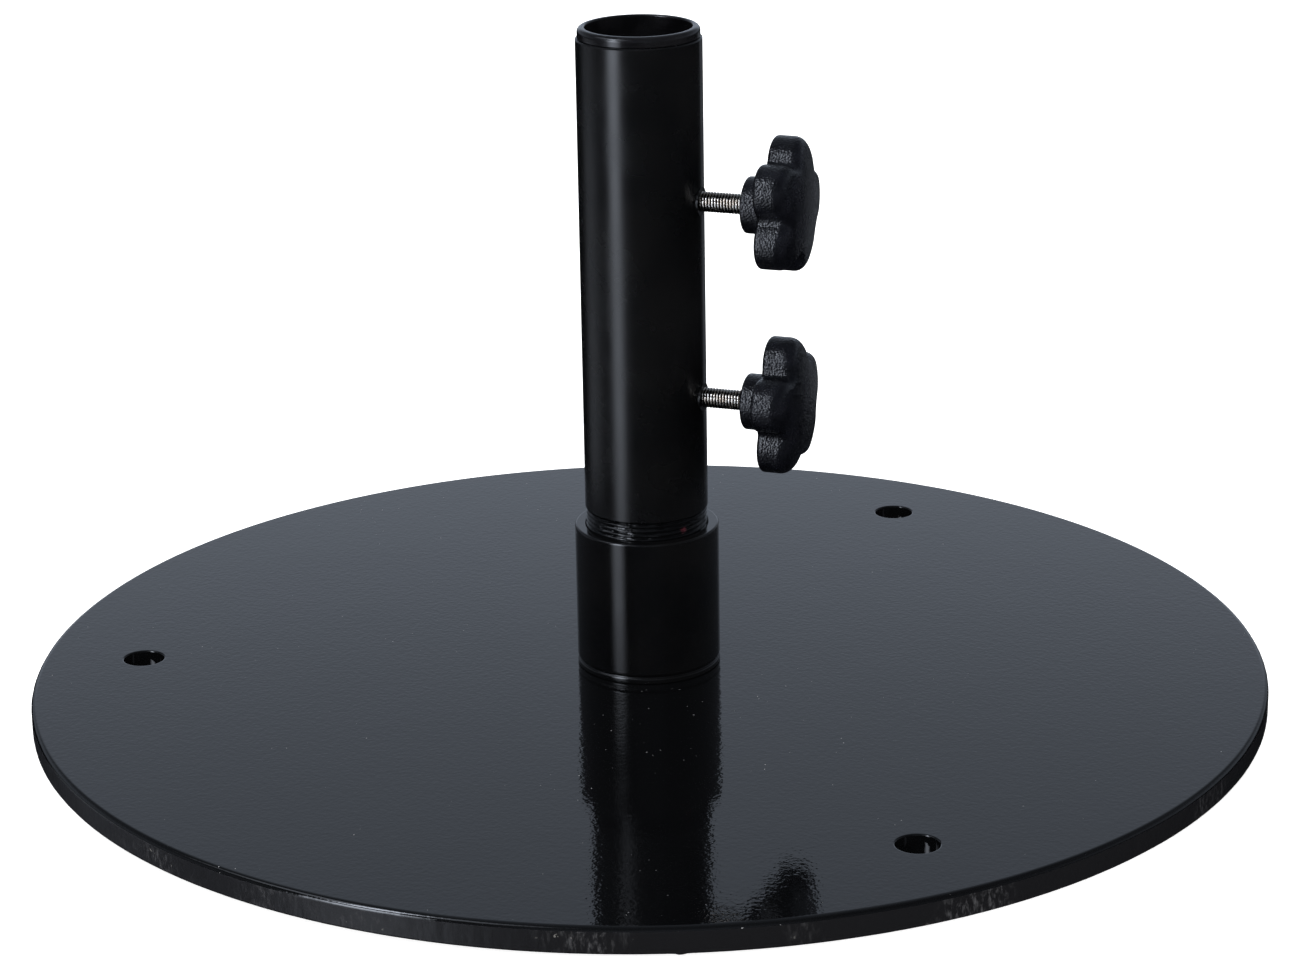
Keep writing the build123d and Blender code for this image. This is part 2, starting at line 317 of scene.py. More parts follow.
def insert_plastic():
    """Satin moulded plastic with a fine texture."""
    material, tree, shader = new_material("insert_plastic")
    coords = object_coords(tree)
    tone = ramp(tree, grain(tree, coords, 14, 3), 0.4, 0.6, 0, 1)
    colour = mix_colour(tree, tone, (0.0025, 0.0025, 0.0030), (0.0045, 0.0045, 0.0052))
    tree.links.new(colour, shader.inputs["Base Color"])
    link_roughness(tree, shader, coords, 9, 0.16, 0.24)
    add_bumps(tree, shader, coords, ((7, 0.03, 2), (0.7, 0.006, 2)))
    return material


def stud_steel(name, height_mm):
    """Rolled bright steel thread: clean crests, roots painted near-black brown as the shade between the
    ridges, a warm tarnish in patches.
    """
    material, tree, shader = new_material(name)
    coords = object_coords(tree)
    centre = add_node(tree, "ShaderNodeVectorMath", operation="SUBTRACT")
    centre.inputs[1].default_value = (0, 0, height_mm * MM)
    tree.links.new(coords, centre.inputs[0])
    flat = add_node(tree, "ShaderNodeVectorMath", operation="MULTIPLY")
    flat.inputs[1].default_value = (0, 1, 1)
    tree.links.new(centre.outputs[0], flat.inputs[0])
    radius = add_node(tree, "ShaderNodeVectorMath", operation="LENGTH")
    tree.links.new(flat.outputs[0], radius.inputs[0])
    # painted shade: by radius, the thread's roots get a near-black brown and only the crests keep the
    # bright steel colour
    crest = ramp(tree, radius.outputs["Value"], 0.0042, 0.0047, 0, 1)
    tarnish = ramp(tree, grain(tree, coords, 3, 3), 0.42, 0.62, 0, 1)
    steel = mix_colour(tree, tarnish, (0.70, 0.68, 0.64), (0.60, 0.52, 0.44))
    tree.links.new(mix_colour(tree, crest, (0.030, 0.024, 0.020), steel), shader.inputs["Base Color"])
    shader.inputs["Metallic"].default_value = 1.0
    tree.links.new(ramp(tree, tarnish, 0, 1, 0.16, 0.34), shader.inputs["Roughness"])
    add_bumps(tree, shader, coords, ((0.8, 0.03, 2),))
    return material


def knob_plastic():
    """Spark-textured black plastic: a fine leathery grain that breaks the highlights up."""
    material, tree, shader = new_material("knob_plastic")
    coords = object_coords(tree)
    rub = ramp(tree, grain(tree, coords, 11, 4), 0.42, 0.62, 0, 1)
    colour = mix_colour(tree, rub, (0.0022, 0.0024, 0.0034), (0.0040, 0.0043, 0.0062))
    tree.links.new(colour, shader.inputs["Base Color"])
    tree.links.new(ramp(tree, rub, 0, 1, 0.20, 0.28), shader.inputs["Roughness"])
    shader.inputs["IOR"].default_value = KNOB_IOR
    add_bumps(tree, shader, coords, ((8, 0.05, 2), (0.9, 0.26, 0)))
    return material


def pad_rubber():
    """Matt moulded rubber, dusty in patches."""
    material, tree, shader = new_material("pad_rubber")
    coords = object_coords(tree)
    dust = ramp(tree, grain(tree, coords, 7, 4), 0.45, 0.7, 0, 1)
    colour = mix_colour(tree, dust, (0.012, 0.012, 0.012), (0.045, 0.043, 0.04))
    tree.links.new(colour, shader.inputs["Base Color"])
    shader.inputs["Roughness"].default_value = 0.75
    add_bumps(tree, shader, coords, ((1.1, 0.06, 3),))
    return material


def weld_coat():
    """Painted weld bead with its ripples."""
    material, tree, shader = new_material("weld_coat")
    coords = object_coords(tree)
    shader.inputs["Base Color"].default_value = (*BLACK_PAINT, 1)
    shader.inputs["IOR"].default_value = PAINT_IOR
    link_roughness(tree, shader, coords, 5, 0.15, 0.35)
    add_bumps(tree, shader, coords, ((3.5, 0.8, 1), (1.0, 0.15, 2)))
    return material


def set_material(obj, *materials):
    """Puts these materials, in order, in the object's slots."""
    if obj.data.materials:
        obj.data.materials.clear()
    for material in materials:
        obj.data.materials.append(material)


# ---- mesh helpers, in millimetres ----
CIRCLE = 2 * math.pi
SUPPORT = 0.35
SHARP_ANGLE = 38.0


def new_piece(name, body, node, bm, place=None):
    """Turns a bmesh in millimetres into a piece that rides on a body in place of its CAD node."""
    bmesh.ops.recalc_face_normals(bm, faces=bm.faces)
    mesh = bpy.data.meshes.new(name)
    bm.to_mesh(mesh)
    bm.free()
    mesh.transform(Matrix.Scale(MM, 4) @ (place or Matrix.Identity(4)))
    mesh.shade_smooth()
    mesh.set_sharp_from_angle(angle=math.radians(SHARP_ANGLE))
    piece = bpy.data.objects.new(name, mesh)
    bpy.context.scene.collection.objects.link(piece)
    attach(piece, body)
    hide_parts(node)
    return piece


def add_ring(bm, points):
    """A ring of vertices."""
    return [bm.verts.new(point) for point in points]


def skin(bm, rings, closed=False):
    """Faces between each ring and the next, and from the last to the first where closed."""
    pairs = list(zip(rings, rings[1:]))
    if closed:
        pairs.append((rings[-1], rings[0]))
    faces = []
    for lower, upper in pairs:
        count = len(lower)
        for index in range(count):
            after = (index + 1) % count
            faces.append(bm.faces.new((lower[index], lower[after], upper[after], upper[index])))
    return faces


def cap(bm, ring, centre):
    """A fan that closes a ring at its centre."""
    middle = bm.verts.new(centre)
    for index in range(len(ring)):
        bm.faces.new((ring[index], ring[(index + 1) % len(ring)], middle))


def rounded_outline(corners, steps=6, closed=True):
    """Corners (radius, height, rounding) with each rounding drawn as a tangent arc.

    A support point stands beside each end of an arc, so that the flats stay flat in the shading.
    """
    points = []
    count = len(corners)
    for index, (x, y, rounding) in enumerate(corners):
        corner = Vector((x, y))
        end_point = not closed and index in (0, count - 1)
        if rounding == 0 or end_point:
            points.append(corner)
            continue
        before = (Vector(corners[index - 1][:2]) - corner).normalized()
        after = (Vector(corners[(index + 1) % count][:2]) - corner).normalized()
        half = before.angle(after) / 2
        reach = rounding / math.tan(half)
        centre = corner + (before + after).normalized() * (rounding / math.sin(half))
        start = corner + before * reach
        end = corner + after * reach
        points.append(start + before * SUPPORT)
        for step in range(steps + 1):
            spoke = (start - centre).lerp(end - centre, step / steps).normalized()
            points.append(centre + spoke * rounding)
        points.append(end + after * SUPPORT)
    return points


def around(radius, angle, height):
    """A point at an angle about Z."""
    return Vector((radius * math.cos(angle), radius * math.sin(angle), height))


def circle(radius, height, segments):
    """Points of a circle about Z."""
    return [around(radius, CIRCLE * index / segments, height) for index in range(segments)]


def angle_from(azimuth, angle):
    """How far an angle lies from an azimuth counted from the camera, between minus and plus half a turn."""
    towards = direction(azimuth, 0)
    return (angle - math.atan2(towards.y, towards.x) + math.pi) % CIRCLE - math.pi


def lathe(corners, segments, steps=6):
    """A closed ring-shaped solid turned about Z from rounded corners."""
    bm = bmesh.new()
    rings = [add_ring(bm, circle(x, y, segments)) for x, y in rounded_outline(corners, steps)]
    skin(bm, rings, closed=True)
    return bm


# ---- base plate ----
PLATE_SEGMENTS = 1080
HOLE_SEGMENTS = 64
HOLE_COLLAR = 3.0
EDGE_ROWS = 7
EDGE_LUMP = 0.16
EDGE_WAVE = 0.22
COAT_LINE = 0.85
COAT_BELOW = 2
DRIP_AZIMUTH = 2.1
DRIP_HEIGHT = 0.9
DRIP_WIDTH = 1.9


def edge_offset(angle, height):
    """How far the painted cut edge stands in or out at a place, in millimetres."""
    place = Vector((math.cos(angle), math.sin(angle), 0)) * PLATE_HIGH.x
    wave = noise.noise(place / 38 + Vector((0, 0, 3.1)))
    lump = noise.noise(Vector((place.x / 4.5, place.y / 4.5, height / 9)))
    return -EDGE_WAVE * (0.5 + 0.5 * wave) - EDGE_LUMP * (0.5 + 0.5 * lump)


def drip_drop(angle):
    """How far the run of paint hangs below the plate's bottom edge at an angle."""
    gap = angle_from(DRIP_AZIMUTH, angle)
    return DRIP_HEIGHT * math.exp(-((gap * PLATE_HIGH.x / DRIP_WIDTH) ** 2))


def plate_edge_rings(bm):
    """Rings from the flat top, round the worn edge, to the flat underside."""
    radius = PLATE_HIGH.x
    corners = [
        (radius - 12, PLATE_HIGH.z, 0),
        (radius, PLATE_HIGH.z, PLATE_TOP_ROUNDING),
        (radius, PLATE_LOW.z, PLATE_BOTTOM_ROUNDING),
        (radius - 8, PLATE_LOW.z, 0),
    ]
    outline = rounded_outline(corners, 6, closed=False)
    wall_top = PLATE_HIGH.z - PLATE_TOP_ROUNDING - SUPPORT
    wall_bottom = PLATE_LOW.z + PLATE_BOTTOM_ROUNDING + SUPPORT
    split = next(index for index, point in enumerate(outline) if abs(point.y - wall_top) < 0.01)
    span = wall_bottom - wall_top
    rows = [Vector((radius, wall_top + span * row / EDGE_ROWS)) for row in range(1, EDGE_ROWS)]
    outline = outline[: split + 1] + rows + outline[split + 1 :]
    rings = []
    for x, y in outline:
        hold = min(1.0, max(0.0, (x - (radius - PLATE_TOP_ROUNDING)) / PLATE_TOP_ROUNDING))
        ring = []
        for index in range(PLATE_SEGMENTS):
            angle = CIRCLE * index / PLATE_SEGMENTS
            reach = x + hold * edge_offset(angle, y)
            low = hold * drip_drop(angle) if y < wall_bottom else 0
            ring.append(around(reach, angle, y - low))
        rings.append(add_ring(bm, ring))
    return rings


def hole_rings(bm, centre, radius, rounding):
    """Rings of a drilled hole, from the flat top round its rim and down to the underside."""
    corners = [
        (radius + HOLE_COLLAR, PLATE_HIGH.z, 0),
        (radius, PLATE_HIGH.z, rounding),
        (radius, PLATE_LOW.z, rounding / 2),
        (radius + HOLE_COLLAR, PLATE_LOW.z, 0),
    ]
    rings = []
    for x, y in rounded_outline(corners, 5, closed=False):
        ring = [point + centre for point in circle(x, y, HOLE_SEGMENTS)]
        rings.append(add_ring(bm, ring))
    return rings


def fill_flat(bm, outer, inners, holes):
    """Triangles between an outer ring and the rings round the holes, all at one height."""
    verts = list(outer)
    edges = []
    for ring in [outer] + inners:
        start = len(verts) if ring is not outer else 0
        if ring is not outer:
            verts += ring
        edges += [(start + index, start + (index + 1) % len(ring)) for index in range(len(ring))]
    flat = [Vector((vert.co.x, vert.co.y)) for vert in verts]
    points, _, faces, sources, _, _ = delaunay_2d_cdt(flat, edges, [], 0, 1e-6)
    for face in faces:
        middle = sum((points[index] for index in face), Vector((0, 0))) / 3
        if any((middle - place).length < radius for place, radius in holes):
            continue
        bm.faces.new([verts[sources[index][0]] for index in face])


def make_plate():
    """The round plate with its worn edge, anchor holes and drain hole."""
    bm = bmesh.new()
    edge = plate_edge_rings(bm)
    skin(bm, edge)
    centres = []
    for name, opening in sorted(OPENINGS.items()):
        if name.startswith("anchor_hole"):
            low, high = (Vector(corner) for corner in opening["box_m"])
            centres.append(((low + high) / 2).to_2d() / MM)
    drills = [(Vector((*centre, 0)), HOLE_RADIUS, HOLE_ROUNDING) for centre in centres]
    drills.append((Vector((0, 0, 0)), DRAIN_RADIUS, HOLE_ROUNDING / 2))
    holes = []
    walls = []
    for centre, radius, rounding in drills:
        rings = hole_rings(bm, centre, radius, rounding)
        skin(bm, rings)
        walls.append(rings)
        holes.append((centre.to_2d(), (radius + HOLE_COLLAR) * math.cos(math.pi / HOLE_SEGMENTS)))
    fill_flat(bm, edge[0], [rings[0] for rings in walls], holes)
    fill_flat(bm, edge[-1], [rings[-1] for rings in walls], holes)
    low = PLATE_LOW.z + PLATE_BOTTOM_ROUNDING - COAT_BELOW
    high = PLATE_HIGH.z - PLATE_TOP_ROUNDING * COAT_LINE
    for face in bm.faces:
        middle = face.calc_center_median()
        if middle.to_2d().length > PLATE_HIGH.x - PLATE_TOP_ROUNDING and low < middle.z < high:
            face.material_index = 1
    plate = new_piece("plate_shell", "base", "base_plate", bm)
    set_material(plate, plate_coat(), plate_edge_coat())


# ---- socket and insert ----
ROUND_SEGMENTS = 256


def make_socket(coat):
    """The welded pipe coupling, chamfered at its foot, on a painted weld bead."""
    corners = [
        (WELD_HIGH.x, SOCKET_LOW.z, 0),
        (SOCKET_HIGH.x, SOCKET_LOW.z, 0.7),
        (SOCKET_HIGH.x, SOCKET_LOW.z + BEAD_HEIGHT, 0.9),
        (SOCKET_HIGH.x - BEAD_GROOVE, SOCKET_LOW.z + BEAD_HEIGHT + BEAD_GROOVE, 0.4),
        (SOCKET_HIGH.x, SOCKET_LOW.z + CHAMFER_TOP, 1.4),
        (SOCKET_HIGH.x, SOCKET_HIGH.z, SOCKET_TOP_ROUNDING),
        (WELD_HIGH.x, SOCKET_HIGH.z, SOCKET_BORE_ROUNDING),
    ]
    bm = lathe(corners, ROUND_SEGMENTS)
    socket = new_piece("socket_shell", "base", "stem_socket", bm)
    set_material(socket, coat)


def make_insert(coat):
    """The reducing sleeve with its flange standing on the tube."""
    flange_bottom = INSERT_HIGH.z - INSERT_FLANGE_HEIGHT
    corners = [
        (INSERT_BORE, INSERT_LOW.z, 0.5),
        (INSERT_SLEEVE_RADIUS, INSERT_LOW.z, 0.9),
        (INSERT_SLEEVE_RADIUS, flange_bottom, 0),
        (INSERT_HIGH.x, flange_bottom, 0.3),
        (INSERT_HIGH.x, INSERT_HIGH.z, INSERT_BROW),
        (INSERT_BORE, INSERT_HIGH.z, INSERT_ROUNDING),
    ]
    bm = lathe(corners, ROUND_SEGMENTS)
    insert = new_piece("insert_sleeve", "insert", "pole_insert", bm)
    set_material(insert, coat)


# ---- threads ----
RIDGE_GAIN = 1.25
RIDGE_POWER = 0.85
SHANK_GAP = 0.3


def ridge(height, angle, pitch):
    """The height of a right-hand thread's ridge at a place, from 0 in the root to 1 on the crest."""
    phase = (height / pitch - angle / CIRCLE) % 1.0
    wave = 0.5 - 0.5 * math.cos(CIRCLE * phase)
    return min(1.0, RIDGE_GAIN * wave**RIDGE_POWER)


SPIGOT_SEGMENTS = 192
SPIGOT_ROWS_PER_PITCH = 10
PAINT_FILL = 0.7
# lumps of paint on the open thread: azimuth from the camera, height above the socket, radius, swell
PAINT_LUMPS = ((-47, 3.0, 1.5, 0.55), (5, 1.6, 1.4, 0.6), (10, 1.9, 1.2, 0.5), (-12, 2.4, 2.2, 0.3))
PAINT_LUMPS += ((36, 3.2, 1.6, 0.45), (74, 3.8, 1.8, 0.4), (140, 2.5, 1.7, 0.5), (-110, 3.0, 2.0, 0.4))


def spigot_radius(height, angle):
    """The painted thread's radius: cut deep below, filled with paint and lumps where it shows."""
    open_low = SOCKET_HIGH.z - 1
    shank = TUBE_LOW.z - SHANK_GAP
    if height > shank - 0.2:
        return SPIGOT_SHANK_RADIUS
    shown = min(1.0, max(0.0, (height - open_low) / 2))
    depth = SPIGOT_HIGH.x - PIPE_ROOT
    level = ridge(height, angle, PIPE_PITCH)
    place = Vector((math.cos(angle), math.sin(angle), 0)) * PIPE_ROOT
    ragged = 0.5 + 0.5 * noise.noise(Vector((place.x, place.y, height * 1.6)) / 5)
    fill = shown * PAINT_FILL * ragged
    radius = PIPE_ROOT + depth * (fill + (1 - fill) * level) - shown * 0.15
    for azimuth, lift, size, swell in PAINT_LUMPS:
        gap = angle_from(azimuth, angle)
        far = (gap * PIPE_ROOT) ** 2 + (height - SOCKET_HIGH.z - lift) ** 2
        radius += shown * swell * math.exp(-far / size**2)
    lead_in = SPIGOT_BORE + 1.2 + max(0.0, height - SPIGOT_LOW.z)
    return min(radius, lead_in)


def make_spigot(coat):
    """The threaded ferrule, hollow for the pole, its upper part a plain shank inside the tube."""
    bm = bmesh.new()
    thread_top = TUBE_LOW.z - SHANK_GAP
    count = round((thread_top - SPIGOT_LOW.z) / PIPE_PITCH * SPIGOT_ROWS_PER_PITCH)
    heights = [SPIGOT_LOW.z + (thread_top - SPIGOT_LOW.z) * row / count for row in range(count + 1)]
    heights += [thread_top + 2, SPIGOT_HIGH.z - 2, SPIGOT_HIGH.z]
    rings = []
    for height in heights:
        ring = []
        for index in range(SPIGOT_SEGMENTS):
            angle = CIRCLE * index / SPIGOT_SEGMENTS
            reach = spigot_radius(height, angle)
            ring.append(around(reach, angle, height))
        rings.append(add_ring(bm, ring))
    bore = rounded_outline(
        [(SPIGOT_BORE + 1, SPIGOT_HIGH.z, 0), (SPIGOT_BORE, SPIGOT_HIGH.z, 0.5)]
        + [(SPIGOT_BORE, SPIGOT_LOW.z, 0.5), (SPIGOT_BORE + 1, SPIGOT_LOW.z, 0)],
        4,
        closed=False,
    )
    rings += [add_ring(bm, circle(x, y, SPIGOT_SEGMENTS)) for x, y in bore]
    skin(bm, rings, closed=True)
    spigot = new_piece("spigot_thread", "spigot", "stem_spigot", bm)
    set_material(spigot, coat)


STUD_SEGMENTS = 48
STUD_ROWS_PER_PITCH = 12


def make_stud(side):
    """A rolled thread on the stud, pointed at its tip, plain where it sits in the knob."""
    low, high = box_mm(f"{side}_stud")
    height = (low.z + high.z) / 2
    crest = high.y
    length = high.x - low.x
    thread_end = length - STUD_SEAT_DEPTH + SEAT_MOUTH_DEPTH / 2
    bm = bmesh.new()
    count = round(thread_end / STUD_PITCH * STUD_ROWS_PER_PITCH)
    stations = [thread_end * row / count for row in range(count + 1)]
    rings = []
    for along in stations:
        ring = []
        for index in range(STUD_SEGMENTS):
            angle = CIRCLE * index / STUD_SEGMENTS
            reach = STUD_ROOT + (crest - STUD_ROOT) * ridge(along, angle, STUD_PITCH)
            reach = min(reach, STUD_ROOT - 0.9 + along, STUD_ROOT + (thread_end - along))
            ring.append(around(reach, angle, along))
        rings.append(add_ring(bm, ring))
    rings.append(add_ring(bm, circle(STUD_ROOT, thread_end + 0.4, STUD_SEGMENTS)))
    rings.append(add_ring(bm, circle(STUD_ROOT, length, STUD_SEGMENTS)))
    skin(bm, rings)
    cap(bm, rings[0], (0, 0, 0))
    cap(bm, rings[-1], (0, 0, length))
    place = Matrix.Translation((low.x, 0, height)) @ Matrix.Rotation(math.radians(90), 4, "Y")
    stud = new_piece(f"{side}_stud_thread", f"{side}_screw", f"{side}_stud", bm, place)
    set_material(stud, stud_steel(f"{side}_stud_steel", height))


# ---- knob heads ----
LOBE_STEPS = 22
NOTCH_STEPS = 10
DOME_RINGS = 9
ROUNDING_STEPS = 7
WALL_SHARES = (0.06, 0.5, 0.94)


def polar(radius, degrees):
    """A point in the plane."""
    angle = math.radians(degrees)
    return Vector((radius * math.cos(angle), radius * math.sin(angle)))


def star(inset):
    """The five-lobed outline, moved in by an inset; each lobe's arc meets the notches' tangent."""
    half_step = 180 / LOBE_COUNT
    reach = LOBE_CIRCLE * math.cos(math.radians(half_step))
    notch_radius = (LOBE_CIRCLE**2 + NOTCH_FLOOR**2 - 2 * reach * NOTCH_FLOOR - LOBE_RADIUS**2) / (
        2 * (LOBE_RADIUS + reach - NOTCH_FLOOR)
    )
    notch_circle = NOTCH_FLOOR + notch_radius
    towards = polar(notch_circle, half_step) - polar(LOBE_CIRCLE, 0)
    swing = math.degrees(math.atan2(towards.y, towards.x))
    points = []
    for index in range(LOBE_COUNT):
        middle = 2 * half_step * index
        lobe = polar(LOBE_CIRCLE, middle)
        for step in range(LOBE_STEPS):
            angle = middle - swing + 2 * swing * step / LOBE_STEPS
            points.append(lobe + polar(LOBE_RADIUS - inset, angle))
        notch = polar(notch_circle, middle + half_step)
        for step in range(NOTCH_STEPS):
            turn = 2 * (swing - half_step) * (step / NOTCH_STEPS - 0.5)
            angle = middle + half_step + 180 - turn
            points.append(notch + polar(notch_radius + inset, angle))
    return points


def dome_height(radius, thickness):
    """The height of the domed front at a distance from the axis."""
    rim = LOBE_CIRCLE + LOBE_RADIUS
    rise = thickness - HEAD_RIM_THICKNESS
    dome = (rim**2 + rise**2) / (2 * rise)
    return thickness - dome + math.sqrt(dome**2 - radius**2)


def star_rings(bm, thickness):
    """Rings from the flat back of the star, round its rim, and over the domed front."""
    rings = []
    for step in range(ROUNDING_STEPS + 1):
        angle = math.radians(90) * step / ROUNDING_STEPS
        inset = HEAD_BACK_ROUNDING * (1 - math.sin(angle))
        height = HEAD_BACK_ROUNDING * (1 - math.cos(angle))
        rings.append([(*point, height) for point in star(inset)])
    shoulder = [dome_height(point.length, thickness) - HEAD_FRONT_ROUNDING for point in star(0)]
    for share in WALL_SHARES:
        wall = []
        for point, top in zip(star(0), shoulder):
            wall.append((*point, HEAD_BACK_ROUNDING + (top - HEAD_BACK_ROUNDING) * share))
        rings.append(wall)
    for step in range(ROUNDING_STEPS + 1):
        angle = math.radians(90) * step / ROUNDING_STEPS
        inset = HEAD_FRONT_ROUNDING * (1 - math.cos(angle))
        drop = HEAD_FRONT_ROUNDING * (1 - math.sin(angle))
        points = star(inset)
        rings.append([(*point, dome_height(point.length, thickness) - drop) for point in points])
    inner = star(HEAD_FRONT_ROUNDING)
    for step in range(1, DOME_RINGS):
        share = 1 - step / DOME_RINGS
        points = [point * share for point in inner]
        rings.append([(*point, dome_height(point.length, thickness)) for point in points])
    return [add_ring(bm, ring) for ring in rings]


def hub_rings(bm, angles, seat_radius, mouth_radius, seat_end):
    """Rings of the bore and hub, from the blind end of the stud's seat out to the star's back."""
    corners = [
        (seat_radius, seat_end, 0),
        (seat_radius, SEAT_MOUTH_DEPTH - HUB_LENGTH, 0.2),
        (mouth_radius, SEAT_MOUTH_DEPTH - HUB_LENGTH, 0.2),
        (mouth_radius, -HUB_LENGTH, 0.5),
        (HUB_RADIUS, -HUB_LENGTH, HUB_ROUNDING),
        (HUB_RADIUS, 0, HUB_FOOT_ROUNDING),
        (HUB_RADIUS + 3, 0, 0),
    ]
    rings = []
    for x, y in rounded_outline(corners, 5, closed=False):
        rings.append(add_ring(bm, [around(x, angle, y) for angle in angles]))
    return rings


def make_knob(side, coat):
    """A five-lobed grip with its hub, bored for the stud."""
    low, high = box_mm(f"{side}_knob_head")
    stud_low, stud_high = box_mm(f"{side}_stud")
    height = (stud_low.z + stud_high.z) / 2
    thickness = high.x - low.x - HUB_LENGTH
    bm = bmesh.new()
    angles = [math.atan2(point.y, point.x) for point in star(HEAD_BACK_ROUNDING)]
    seat_end = stud_high.x - low.x - HUB_LENGTH + SEAT_END_GAP
    hub = hub_rings(bm, angles, STUD_ROOT + SEAT_CLEARANCE, stud_high.y + SEAT_CLEARANCE, seat_end)
    head = star_rings(bm, thickness)
    skin(bm, hub + head)
    cap(bm, hub[0], (0, 0, seat_end))
    cap(bm, head[-1], (0, 0, thickness))
    tilt = Matrix.Rotation(math.radians(-90 - HEAD_TILT[side]), 4, "Z")
    turn = Matrix.Rotation(math.radians(90), 4, "Y") @ tilt
    place = Matrix.Translation((low.x + HUB_LENGTH, 0, height)) @ turn
    knob = new_piece(f"{side}_star_grip", f"{side}_knob", f"{side}_knob_head", bm, place)
    set_material(knob, coat)


# ---- stage ----
FLOOR_SIZE = 30.0


def glossy_only(obj):
    """Seen in reflections but not by the camera, and lights nothing else."""
    obj.visible_camera = False
    obj.visible_diffuse = False
    obj.visible_shadow = False
    obj.visible_transmission = False
    obj.visible_volume_scatter = False


CARD_FADE = 0.36
CARD_BLEND = (0.5, 0.85)
CARD_TINT = (0.88, 0.95, 1.08, 1)
CARD_CENTRE_HEIGHT = 0.15


def card_glow(name, low, high, axis):
    """A card's glow, fading in from its two sides, from one strength to another along one of its axes."""
    material = bpy.data.materials.new(name)
    material.use_nodes = True
    tree = material.node_tree
    tree.nodes.remove(tree.nodes["Principled BSDF"])
    spot = add_node(tree, "ShaderNodeSeparateXYZ")
    tree.links.new(add_node(tree, "ShaderNodeTexCoord").outputs["Generated"], spot.inputs[0])
    light = add_node(tree, "ShaderNodeEmission", Color=CARD_TINT)
    strength = ramp(tree, spot.outputs[axis], *CARD_BLEND, low, high)
    rising = ramp(tree, spot.outputs["X"], 0, CARD_FADE, 0, 1)
    falling = ramp(tree, spot.outputs["X"], 1 - CARD_FADE, 1, 1, 0)
    sides = combine(tree, "MULTIPLY", rising, falling)
    tree.links.new(combine(tree, "MULTIPLY", strength, sides), light.inputs["Strength"])
    tree.links.new(light.outputs[0], tree.nodes["Material Output"].inputs["Surface"])
    material.cycles.emission_sampling = "NONE"
    return material


def rectangle(name, width, height):
    """A flat rectangle about the origin."""
    mesh = bpy.data.meshes.new(name)
    x = width / 2
    y = height / 2
    mesh.from_pydata([(-x, -y, 0), (x, -y, 0), (x, y, 0), (-x, y, 0)], [], [(0, 1, 2, 3)])
    return bpy.data.objects.new(name, mesh)


def add_card(name, azimuth, elevation, distance, width, height, low, high, axis="Y"):
    """A glowing studio card that faces the object and shows only in reflections."""
    towards = direction(azimuth, elevation)
    card = rectangle(name, width, height)
    turn = towards.to_track_quat("Z", "Y").to_matrix().to_4x4()
    card.matrix_world = Matrix.Translation(towards * distance + Vector((0, 0, CARD_CENTRE_HEIGHT))) @ turn
    bpy.context.scene.collection.objects.link(card)
    set_material(card, card_glow(name, low, high, axis))
    glossy_only(card)


def add_sun(name, azimuth, elevation, spread, strength):
    """A soft distant light that makes no highlights of its own."""
    data = bpy.data.lights.new(name, "SUN")
    data.angle = math.radians(spread)
    data.energy = strength
    light = bpy.data.objects.new(name, data)
    light.matrix_world = direction(azimuth, elevation).to_track_quat("Z", "Y").to_matrix().to_4x4()
    bpy.context.scene.collection.objects.link(light)
    light.visible_glossy = False


# the backdrop's brightness by height, from -1 straight down to 1 straight up
BACKDROP = ((-0.08, 0.006), (0.06, 0.78), (0.26, 0.72), (0.32, 0.62))
BACKDROP += ((0.38, 0.46), (0.5, 0.32), (0.8, 0.22))
BACKDROP_TINT = (0.885, 1.0, 1.19)
FRONT_SHARE = 0.25
# how far aside, as a sine, the pale backdrop starts and ends fading, and what is left of it there
BACKDROP_SIDES = (0.24, 0.46)
SIDE_SHARE = 0.35


def add_world():
    """A soft studio: a pale backdrop that fades upwards, dimmer on the camera's side, and dark below."""
    world = bpy.data.worlds.new("studio")
    world.use_nodes = True
    bpy.context.scene.world = world
    tree = world.node_tree
    towards = add_node(tree, "ShaderNodeTexCoord").outputs["Generated"]
    split = add_node(tree, "ShaderNodeSeparateXYZ")
    tree.links.new(towards, split.inputs[0])
    level = add_node(tree, "ShaderNodeValToRGB")
    tree.links.new(ramp(tree, split.outputs["Z"], -1, 1, 0, 1), level.inputs[0])
    stops = level.color_ramp.elements
    while len(stops) < len(BACKDROP):
        stops.new(1.0)
    for stop, (height, shade) in zip(stops, BACKDROP):
        stop.position = (height + 1) / 2
        stop.color = (*(shade * tint for tint in BACKDROP_TINT), 1)
    facing = add_node(tree, "ShaderNodeVectorMath", operation="DOT_PRODUCT")
    facing.inputs[1].default_value = -direction(0, 0)
    tree.links.new(towards, facing.inputs[0])
    depth = ramp(tree, facing.outputs["Value"], -0.5, 0.5, FRONT_SHARE, 1)
    across = add_node(tree, "ShaderNodeVectorMath", operation="DOT_PRODUCT")
    across.inputs[1].default_value = direction(90, 0)
    tree.links.new(towards, across.inputs[0])
    aside = combine(tree, "ABSOLUTE", across.outputs["Value"], 0)
    share = combine(tree, "MULTIPLY", depth, ramp(tree, aside, *BACKDROP_SIDES, 1, SIDE_SHARE))
    background = tree.nodes["Background"]
    tree.links.new(level.outputs["Color"], background.inputs["Color"])
    tree.links.new(share, background.inputs["Strength"])


FLOOR_GLOW = 0.85


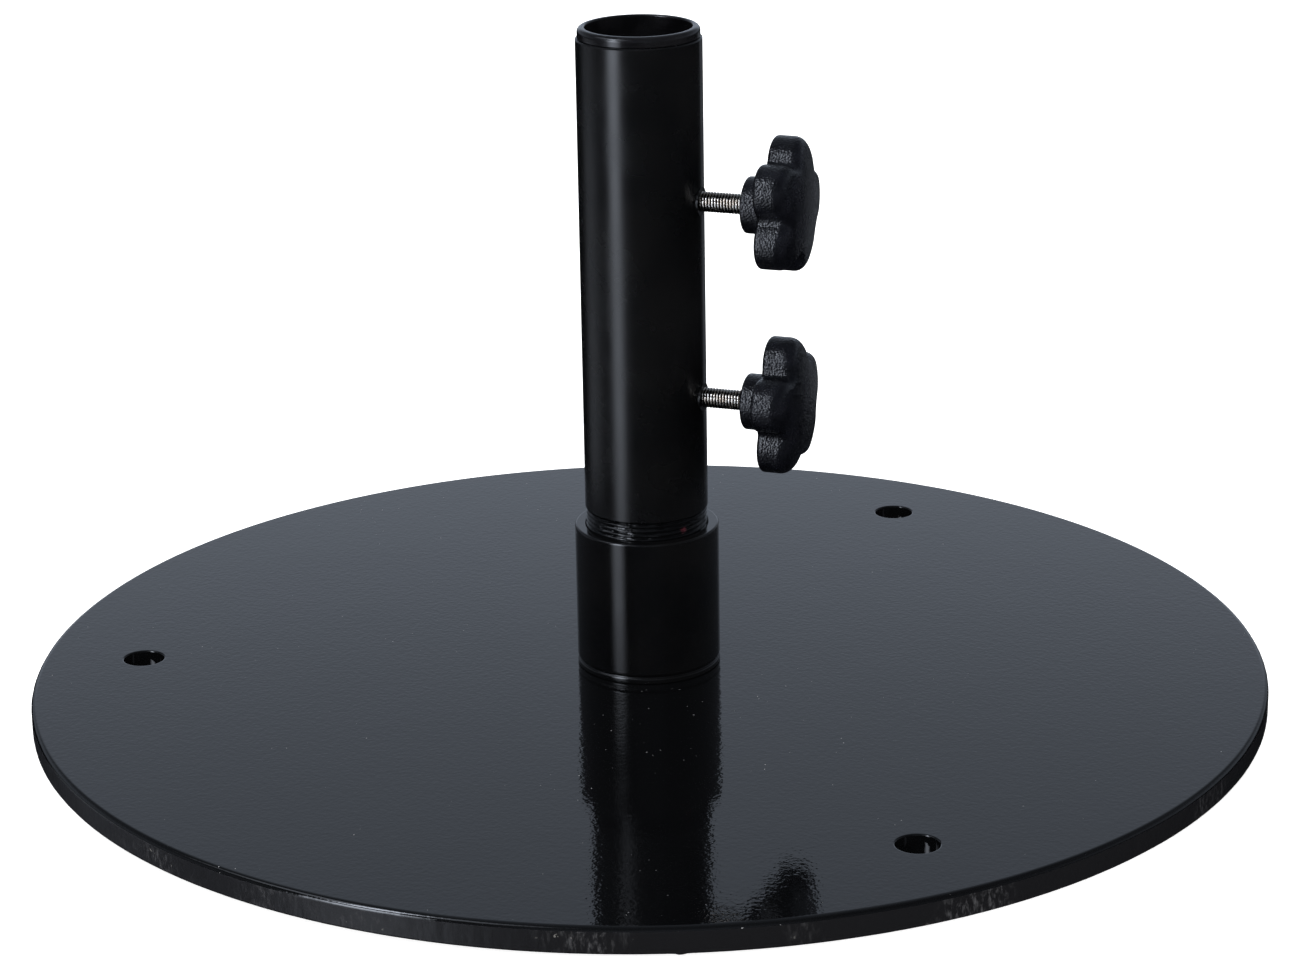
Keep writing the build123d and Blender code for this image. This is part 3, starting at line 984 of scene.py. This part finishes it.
def add_stage():
    """A pale floor that glows faintly and stays out of reflections, with the lights and the cards."""
    floor = rectangle("floor", FLOOR_SIZE, FLOOR_SIZE)
    bpy.context.scene.collection.objects.link(floor)
    material, _, shader = new_material("floor_paper")
    shader.inputs["Base Color"].default_value = (0.86, 0.86, 0.86, 1)
    shader.inputs["Roughness"].default_value = 0.9
    shader.inputs["Specular IOR Level"].default_value = 0.0
    shader.inputs["Emission Color"].default_value = (1, 1, 1, 1)
    shader.inputs["Emission Strength"].default_value = FLOOR_GLOW
    set_material(floor, material)
    floor.visible_glossy = False
    add_world()
    add_sun("top_light", -30, 68, 50, 3.0)
    add_sun("front_fill", -14, 20, 30, 1.3)
    add_sun("side_fill", 72, 16, 30, 1.3)
    add_card("left_window", -48, -11, 2.2, 1.12, 2.5, 2.3, 9.5)
    add_card("left_low_fill", -100, -17, 2.6, 2.9, 0.9, 0.42, 0.12, "X")
    add_card("upper_left", -62, 48, 2.6, 3.6, 0.9, 1.7, 1.7)
    add_card("key_box", -54, 39, 2.4, 0.66, 0.8, 13, 13)
    add_card("right_back_floor", 152, -12, 2.6, 1.2, 0.6, 0.2, 0.2)


bpy.context.scene.view_settings.view_transform = "Standard"
add_camera()
add_stage()

SATIN_COAT = black_coat("satin_stem_coat", 0.23, 0.29, ((26, 0.04, 1), (1.5, 0.006, 1)))
GLOSS_COAT = black_coat("gloss_socket_coat", 0.12, 0.17, ((24, 0.05, 1), (1.7, 0.006, 1)))
THREAD_PAINT = thread_paint()
INSERT_PLASTIC = insert_plastic()
KNOB_PLASTIC = knob_plastic()
PAD_RUBBER = pad_rubber()

set_material(NODES["stem_tube"], SATIN_COAT)
set_material(NODES["socket_weld"], weld_coat())
make_plate()
make_socket(GLOSS_COAT)
make_insert(INSERT_PLASTIC)
make_spigot(THREAD_PAINT)
for side in ("upper", "lower"):
    set_material(NODES[f"{side}_thread_bush"], SATIN_COAT)
    make_stud(side)
    make_knob(side, KNOB_PLASTIC)
for name, node in NODES.items():
    if name.startswith("foot_pad"):
        set_material(node, PAD_RUBBER)
